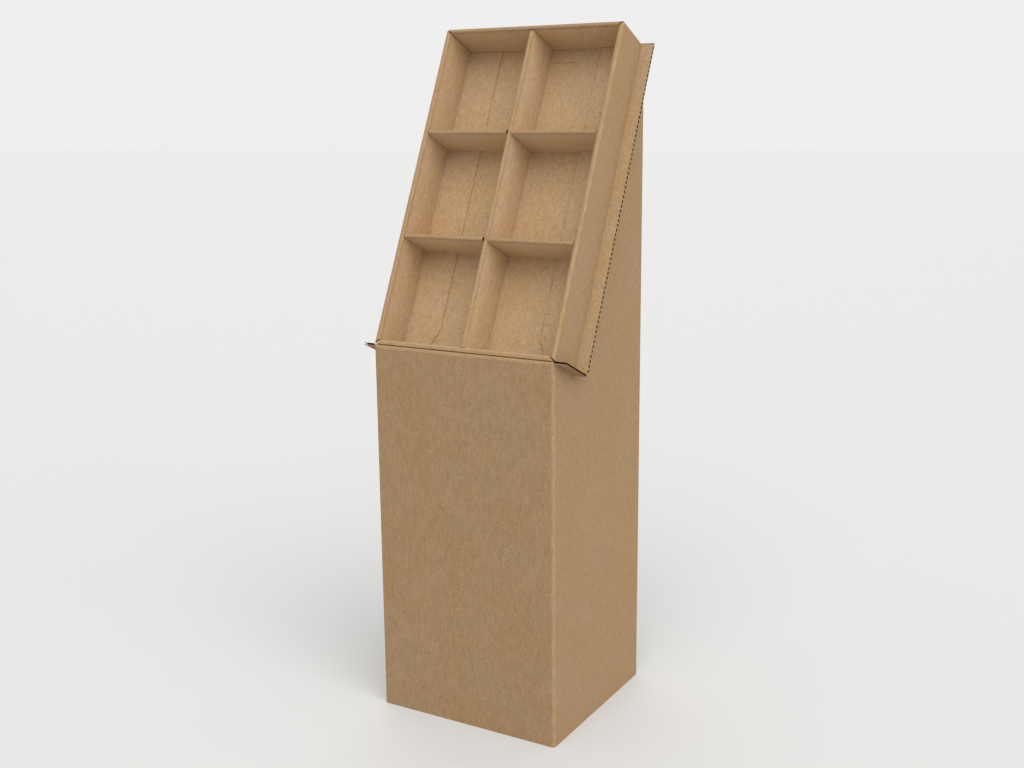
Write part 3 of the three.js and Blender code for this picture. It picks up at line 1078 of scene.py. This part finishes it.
@dataclass
class Studio:
    """The floor, the light and the camera."""

    lens: float = 44.09
    sensor: float = 36.0
    camera_place: Triple = (1.25559, -2.14660, 1.19311)
    camera_azimuth: float = 30.30
    camera_elevation: float = 12.03
    camera_roll: float = -0.52
    camera_reach: float = 200.0
    floor_half: float = 40.0
    floor_roughness: float = 0.9
    floor_specular: float = 0.1
    pale: Colour = (0.66, 0.66, 0.655, 1)
    backdrop: Colour = (0.86, 0.86, 0.855, 1)
    fill: float = 0.61                # light of the world round the stand
    aim: Triple = (0.0, 0.0, 0.75)    # where the lamps point
    lamps: tuple[Lamp, ...] = (
        Lamp("key", (4.7, -0.6, 1.6), 45.0, 0.32),
        Lamp("top", (1.8, -2.5, 4.7), 60.0, 0.61),
        Lamp("back", (-2.4, 3.6, 2.6), 60.0, 0.22),
    )

    def camera(self) -> None:
        """Place the camera at the photograph's viewing angle."""
        azimuth, elevation = math.radians(self.camera_azimuth), math.radians(self.camera_elevation)
        roll = math.radians(self.camera_roll)
        level = math.cos(elevation)
        back = Vector((math.sin(azimuth) * level, -math.cos(azimuth) * level, math.sin(elevation)))
        right = (-back).cross(Vector((0, 0, 1))).normalized()
        up = right.cross(-back)
        turned_right = math.cos(roll) * right + math.sin(roll) * up
        turned_up = -math.sin(roll) * right + math.cos(roll) * up
        data = bpy.data.cameras.new("camera")
        data.lens = self.lens
        data.sensor_width = self.sensor
        data.sensor_fit = "HORIZONTAL"
        data.clip_end = self.camera_reach
        view = new_object("camera", data)
        rotation = Matrix((turned_right, turned_up, back)).transposed().to_4x4()
        view.matrix_world = Matrix.Translation(Vector(self.camera_place)) @ rotation
        bpy.context.scene.camera = view

    def floor(self) -> None:
        """Lay a plain pale floor."""
        far = self.floor_half
        mesh = bpy.data.meshes.new("floor")
        corners = [(-far, -far, 0), (far, -far, 0), (far, far, 0), (-far, far, 0)]
        mesh.from_pydata(corners, [], [(0, 1, 2, 3)])
        piece = new_object("floor", mesh)
        plain, wire, shader = new_material("floor", self.floor_specular)
        wire.feed(shader, {"Base Color": self.pale, "Roughness": self.floor_roughness})
        mesh.materials.append(plain)

    def world(self) -> None:
        """Light the stand from all round and show a pale backdrop."""
        world = bpy.data.worlds.new("studio")
        world.use_nodes = True
        tree = world.node_tree
        wire = Wiring(tree)
        fill = tree.nodes["Background"]
        wire.feed(fill, {"Color": (1.0, 1.0, 1.0, 1), "Strength": self.fill})
        shown = wire.node("ShaderNodeBackground", {"Color": self.backdrop, "Strength": 1.0})
        path = wire.node("ShaderNodeLightPath")
        seen = wire.math("MAXIMUM", path.outputs["Is Camera Ray"], path.outputs["Is Glossy Ray"])
        both = wire.node("ShaderNodeMixShader", {0: seen, 1: fill.outputs[0], 2: shown.outputs[0]})
        wire.feed(tree.nodes["World Output"], {"Surface": both.outputs[0]})
        bpy.context.scene.world = world

    def hang(self, lamp: Lamp) -> None:
        """Hang one lamp that shines towards the stand."""
        data = bpy.data.lights.new(lamp.name, "SUN")
        data.angle = math.radians(lamp.angle)
        data.energy = lamp.strength * math.pi
        light = new_object(lamp.name, data)
        light.location = lamp.place
        aim = Vector(self.aim) - Vector(lamp.place)
        light.rotation_mode = "QUATERNION"
        light.rotation_quaternion = aim.to_track_quat("-Z", "Y")

    def build(self) -> None:
        """Set up the whole studio."""
        self.camera()
        self.floor()
        self.world()
        for lamp in self.lamps:
            self.hang(lamp)
        bpy.context.scene.view_settings.view_transform = "Standard"


def main() -> None:
    """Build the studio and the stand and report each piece."""
    logging.basicConfig(level=logging.INFO, format="%(message)s")
    sizes = StandSizes()
    board = Board()
    Studio().build()
    finishes = Finishes(sizes, board)
    for part in (BaseSleeve(sizes, board), TrayCollar(sizes, board), Dividers(sizes, board)):
        for sheet in part.sheets():
            for piece in sheet.build(sizes, board, finishes):
                LOG.info("%s: %d faces", piece.name, len(piece.data.polygons))


if __name__ == "__main__":
    main()
